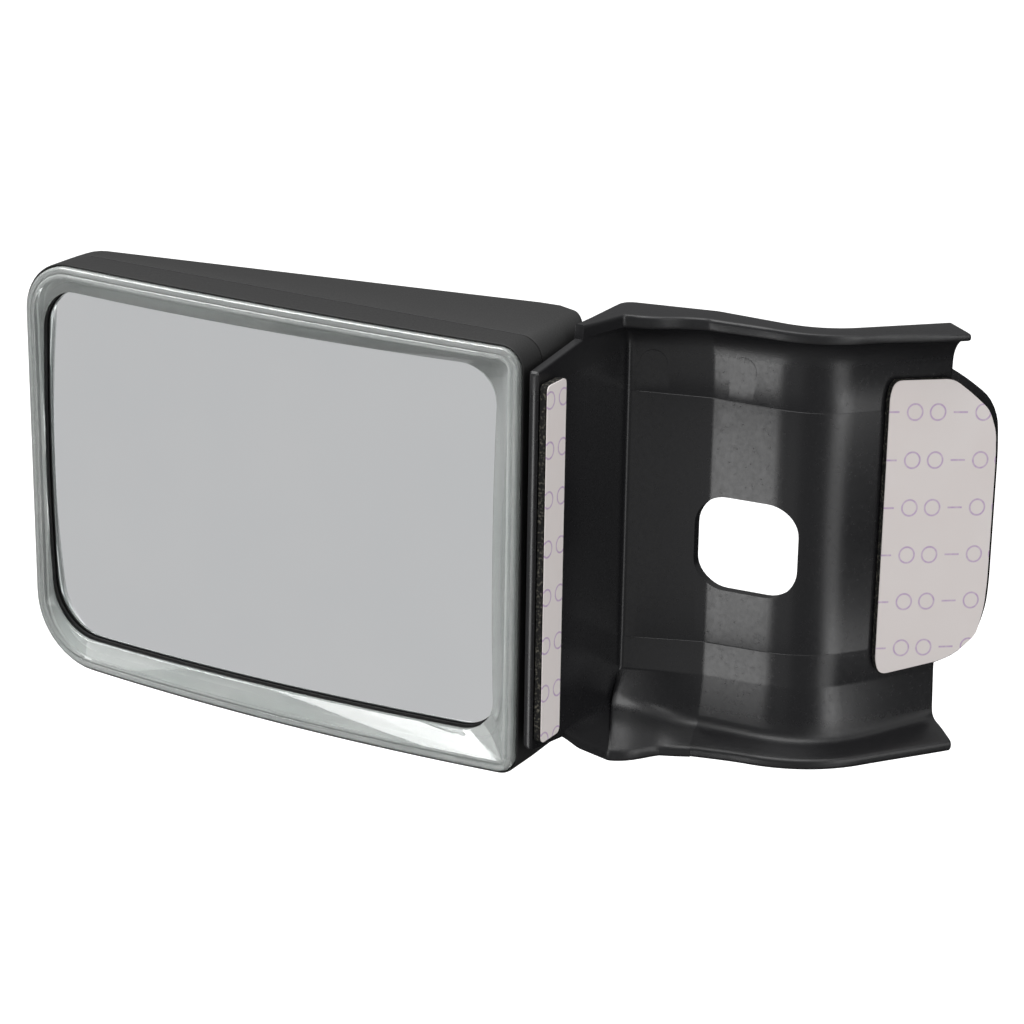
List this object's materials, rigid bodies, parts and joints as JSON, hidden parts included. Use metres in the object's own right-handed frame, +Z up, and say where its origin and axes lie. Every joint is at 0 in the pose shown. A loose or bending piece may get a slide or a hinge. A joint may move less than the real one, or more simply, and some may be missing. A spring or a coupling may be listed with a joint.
{
  "type": "auxiliary convex mirror",
  "caption": "Rounded rectangular convex assist mirror in a clear rim and black wedge housing, on a ball joint beside a moulded wrap-round bracket with foam-taped faces.",
  "frame": {"origin": "middle of the bracket's left tape, on the face of its release liner", "axes": "+X out of the left tape, along the mirror towards the bracket's free end; +Y away from the viewer, into the vehicle mirror's housing edge; +Z up"},
  "size_m": [0.2352, 0.0991, 0.1161],
  "materials": {
    "bracket_black": "satin moulded black",
    "housing_black": "fine matt texture",
    "clear_rim": "clear, polished",
    "mirror": "silvered, polished",
    "seal_black": "matt",
    "foam_black": "open-cell cut edge",
    "release_liner": "silicone-coated film",
    "acetal": "natural acetal",
    "plated_steel": "zinc plated"
  },
  "bodies": {
    "bracket": {"bracket": "bracket_black", "strip_foam": "foam_black", "strip_liner": "release_liner", "pad_foam": "foam_black", "pad_liner": "release_liner"},
    "ball_liner": {"ball_liner": "acetal"},
    "head": {"clear_rim": "clear_rim", "mirror_seal": "seal_black", "mirror_glass": "mirror", "mirror_foam": "foam_black", "front_frame": "housing_black", "rear_shell": "housing_black", "clamp_jaw_front": "housing_black", "clamp_jaw_back": "housing_black", "clamp_screw_1": "plated_steel", "clamp_screw_2": "plated_steel", "housing_screw_1": "plated_steel", "housing_screw_2": "plated_steel", "housing_screw_3": "plated_steel", "housing_screw_4": "plated_steel"}
  },
  "joints": [
    {"name": "head_tilt", "type": "hinge", "parent": "bracket", "child": "ball_liner", "pos_m": [-0.01675, 0.01513, -0.0009], "axis": [1, 0, 0], "range_deg": [-15, 15]},
    {"name": "head_pan", "type": "hinge", "parent": "ball_liner", "child": "head", "pos_m": [-0.01675, 0.01513, -0.0009], "axis": [0, 0, 1], "range_deg": [-10, 4]}
  ]
}
